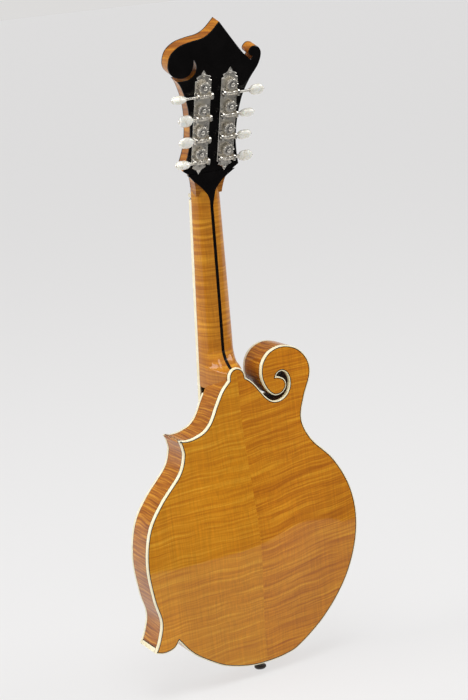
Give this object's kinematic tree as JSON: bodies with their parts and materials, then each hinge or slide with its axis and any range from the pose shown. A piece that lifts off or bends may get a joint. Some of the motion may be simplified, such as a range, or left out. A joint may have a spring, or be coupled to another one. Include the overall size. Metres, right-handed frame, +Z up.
{
  "type": "mandolin",
  "caption": "Carved scroll-body mandolin with arched plates, bound edges, scrolled headstock, geared tuners and an adjustable bridge.",
  "frame": {"origin": "middle of the end pin's flat end face, under the tail of the body", "axes": "+Z up the body along the centre line towards the headstock, the arched back faces +Y, the soundboard and strings face -Y, the treble side is +X"},
  "size_m": [0.2557, 0.1207, 0.6998],
  "materials": {
    "flamed_maple": "gloss amber lacquer over flamed maple",
    "spruce_top": "gloss amber lacquer over straight-grained spruce",
    "inner_wood": "bare, unfinished",
    "ivory_binding": "ivory binding with a thin black inner line, lacquered",
    "black_gloss": "black veneer under gloss lacquer",
    "ebony": "oiled ebony",
    "steel": "satin",
    "bone": "polished bone",
    "nickel": "aged nickel plate",
    "pearl": "white pearl",
    "plain_string": "plain steel wire",
    "wound_string": "bronze-wound wire"
  },
  "bodies": {
    "body": {"back_plate_treble": "flamed_maple", "back_plate_bass": "flamed_maple", "top_plate": "spruce_top", "rib_bass": "flamed_maple", "rib_cutaway": "flamed_maple", "rib_treble": "flamed_maple", "head_block": "inner_wood", "upper_point_block": "inner_wood", "lower_point_block": "inner_wood", "tail_block": "inner_wood", "back_lining": "inner_wood", "top_lining": "inner_wood", "x_brace": "inner_wood", "back_binding": "ivory_binding", "top_binding": "ivory_binding", "upper_point_strip": "ivory_binding", "lower_point_strip": "ivory_binding", "neck_treble": "flamed_maple", "neck_bass": "flamed_maple", "neck_lamination": "black_gloss", "headstock_back_veneer": "black_gloss", "headstock_front_veneer": "black_gloss", "truss_rod_cover": "black_gloss", "truss_rod": "steel", "fingerboard": "ebony", "fingerboard_binding": "ivory_binding", "nut": "bone", "tuner_plate_treble": "nickel", "tuner_plate_bass": "nickel", "bridge_base": "ebony", "tailpiece": "nickel", "end_pin": "ebony", "string_e_1": "plain_string", "string_e_2": "plain_string", "string_a_1": "plain_string", "string_a_2": "plain_string", "string_d_1": "wound_string", "string_d_2": "wound_string", "string_g_1": "wound_string", "string_g_2": "wound_string"},
    "bridge_saddle": {"bridge_saddle": "ebony"},
    "bridge_wheel_treble": {"bridge_wheel_treble": "nickel"},
    "bridge_wheel_bass": {"bridge_wheel_bass": "nickel"},
    "truss_rod_nut": {"truss_rod_nut": "steel"},
    "tuner_button_treble_1": {"tuner_button_treble_1": "pearl"},
    "tuner_post_treble_1": {"tuner_post_treble_1": "nickel"},
    "tuner_button_treble_2": {"tuner_button_treble_2": "pearl"},
    "tuner_post_treble_2": {"tuner_post_treble_2": "nickel"},
    "tuner_button_treble_3": {"tuner_button_treble_3": "pearl"},
    "tuner_post_treble_3": {"tuner_post_treble_3": "nickel"},
    "tuner_button_treble_4": {"tuner_button_treble_4": "pearl"},
    "tuner_post_treble_4": {"tuner_post_treble_4": "nickel"},
    "tuner_button_bass_1": {"tuner_button_bass_1": "pearl"},
    "tuner_post_bass_1": {"tuner_post_bass_1": "nickel"},
    "tuner_button_bass_2": {"tuner_button_bass_2": "pearl"},
    "tuner_post_bass_2": {"tuner_post_bass_2": "nickel"},
    "tuner_button_bass_3": {"tuner_button_bass_3": "pearl"},
    "tuner_post_bass_3": {"tuner_post_bass_3": "nickel"},
    "tuner_button_bass_4": {"tuner_button_bass_4": "pearl"},
    "tuner_post_bass_4": {"tuner_post_bass_4": "nickel"}
  },
  "joints": [
    {"name": "saddle_height", "type": "slide", "parent": "body", "child": "bridge_saddle", "axis": [0, -1, 0], "range_m": [-0.0006, 0.003], "deforming": ["string_e_1", "string_e_2", "string_a_1", "string_a_2", "string_d_1", "string_d_2", "string_g_1", "string_g_2"]},
    {"name": "wheel_treble_turn", "type": "hinge", "parent": "bridge_saddle", "child": "bridge_wheel_treble", "pos_m": [0.033, -0.04535, 0.1666], "axis": [0, -1, 0], "range_deg": [-280, 1360]},
    {"name": "wheel_bass_turn", "type": "hinge", "parent": "bridge_saddle", "child": "bridge_wheel_bass", "pos_m": [-0.033, -0.04535, 0.1666], "axis": [0, -1, 0], "range_deg": [-280, 1360]},
    {"name": "truss_nut_turn", "type": "hinge", "parent": "body", "child": "truss_rod_nut", "pos_m": [0, -0.00512, 0.5266], "axis": [0, 0.0993, 0.9951], "range_deg": [-180, 180]},
    {"name": "button_treble_1_turn", "type": "hinge", "parent": "body", "child": "tuner_button_treble_1", "pos_m": [0.0154, 0.02225, 0.55746], "axis": [1, 0, 0], "continuous": true},
    {"name": "post_treble_1_turn", "type": "hinge", "parent": "body", "child": "tuner_post_treble_1", "pos_m": [0.0154, 0.02533, 0.56592], "axis": [0, 0.9397, -0.342], "continuous": true},
    {"name": "button_treble_2_turn", "type": "hinge", "parent": "body", "child": "tuner_button_treble_2", "pos_m": [0.0154, 0.03029, 0.57955], "axis": [1, 0, 0], "continuous": true},
    {"name": "post_treble_2_turn", "type": "hinge", "parent": "body", "child": "tuner_post_treble_2", "pos_m": [0.0154, 0.03337, 0.588], "axis": [0, 0.9397, -0.342], "continuous": true},
    {"name": "button_treble_3_turn", "type": "hinge", "parent": "body", "child": "tuner_button_treble_3", "pos_m": [0.0154, 0.03833, 0.60163], "axis": [1, 0, 0], "continuous": true},
    {"name": "post_treble_3_turn", "type": "hinge", "parent": "body", "child": "tuner_post_treble_3", "pos_m": [0.0154, 0.0414, 0.61009], "axis": [0, 0.9397, -0.342], "continuous": true},
    {"name": "button_treble_4_turn", "type": "hinge", "parent": "body", "child": "tuner_button_treble_4", "pos_m": [0.0154, 0.04636, 0.62371], "axis": [1, 0, 0], "continuous": true},
    {"name": "post_treble_4_turn", "type": "hinge", "parent": "body", "child": "tuner_post_treble_4", "pos_m": [0.0154, 0.04944, 0.63217], "axis": [0, 0.9397, -0.342], "continuous": true},
    {"name": "button_bass_1_turn", "type": "hinge", "parent": "body", "child": "tuner_button_bass_1", "pos_m": [-0.0154, 0.02225, 0.55746], "axis": [-1, 0, 0], "continuous": true},
    {"name": "post_bass_1_turn", "type": "hinge", "parent": "body", "child": "tuner_post_bass_1", "pos_m": [-0.0154, 0.02533, 0.56592], "axis": [0, 0.9397, -0.342], "continuous": true},
    {"name": "button_bass_2_turn", "type": "hinge", "parent": "body", "child": "tuner_button_bass_2", "pos_m": [-0.0154, 0.03029, 0.57955], "axis": [-1, 0, 0], "continuous": true},
    {"name": "post_bass_2_turn", "type": "hinge", "parent": "body", "child": "tuner_post_bass_2", "pos_m": [-0.0154, 0.03337, 0.588], "axis": [0, 0.9397, -0.342], "continuous": true},
    {"name": "button_bass_3_turn", "type": "hinge", "parent": "body", "child": "tuner_button_bass_3", "pos_m": [-0.0154, 0.03833, 0.60163], "axis": [-1, 0, 0], "continuous": true},
    {"name": "post_bass_3_turn", "type": "hinge", "parent": "body", "child": "tuner_post_bass_3", "pos_m": [-0.0154, 0.0414, 0.61009], "axis": [0, 0.9397, -0.342], "continuous": true},
    {"name": "button_bass_4_turn", "type": "hinge", "parent": "body", "child": "tuner_button_bass_4", "pos_m": [-0.0154, 0.04636, 0.62371], "axis": [-1, 0, 0], "continuous": true},
    {"name": "post_bass_4_turn", "type": "hinge", "parent": "body", "child": "tuner_post_bass_4", "pos_m": [-0.0154, 0.04944, 0.63217], "axis": [0, 0.9397, -0.342], "continuous": true}
  ],
  "couplings": [
    {"joint": "wheel_treble_turn", "follows": "saddle_height", "rad_per_m": 7854},
    {"joint": "wheel_bass_turn", "follows": "saddle_height", "rad_per_m": 7854},
    {"joint": "post_treble_1_turn", "follows": "button_treble_1_turn", "ratio": 0.066667},
    {"joint": "post_treble_2_turn", "follows": "button_treble_2_turn", "ratio": 0.066667},
    {"joint": "post_treble_3_turn", "follows": "button_treble_3_turn", "ratio": 0.066667},
    {"joint": "post_treble_4_turn", "follows": "button_treble_4_turn", "ratio": 0.066667},
    {"joint": "post_bass_1_turn", "follows": "button_bass_1_turn", "ratio": 0.066667},
    {"joint": "post_bass_2_turn", "follows": "button_bass_2_turn", "ratio": 0.066667},
    {"joint": "post_bass_3_turn", "follows": "button_bass_3_turn", "ratio": 0.066667},
    {"joint": "post_bass_4_turn", "follows": "button_bass_4_turn", "ratio": 0.066667}
  ]
}
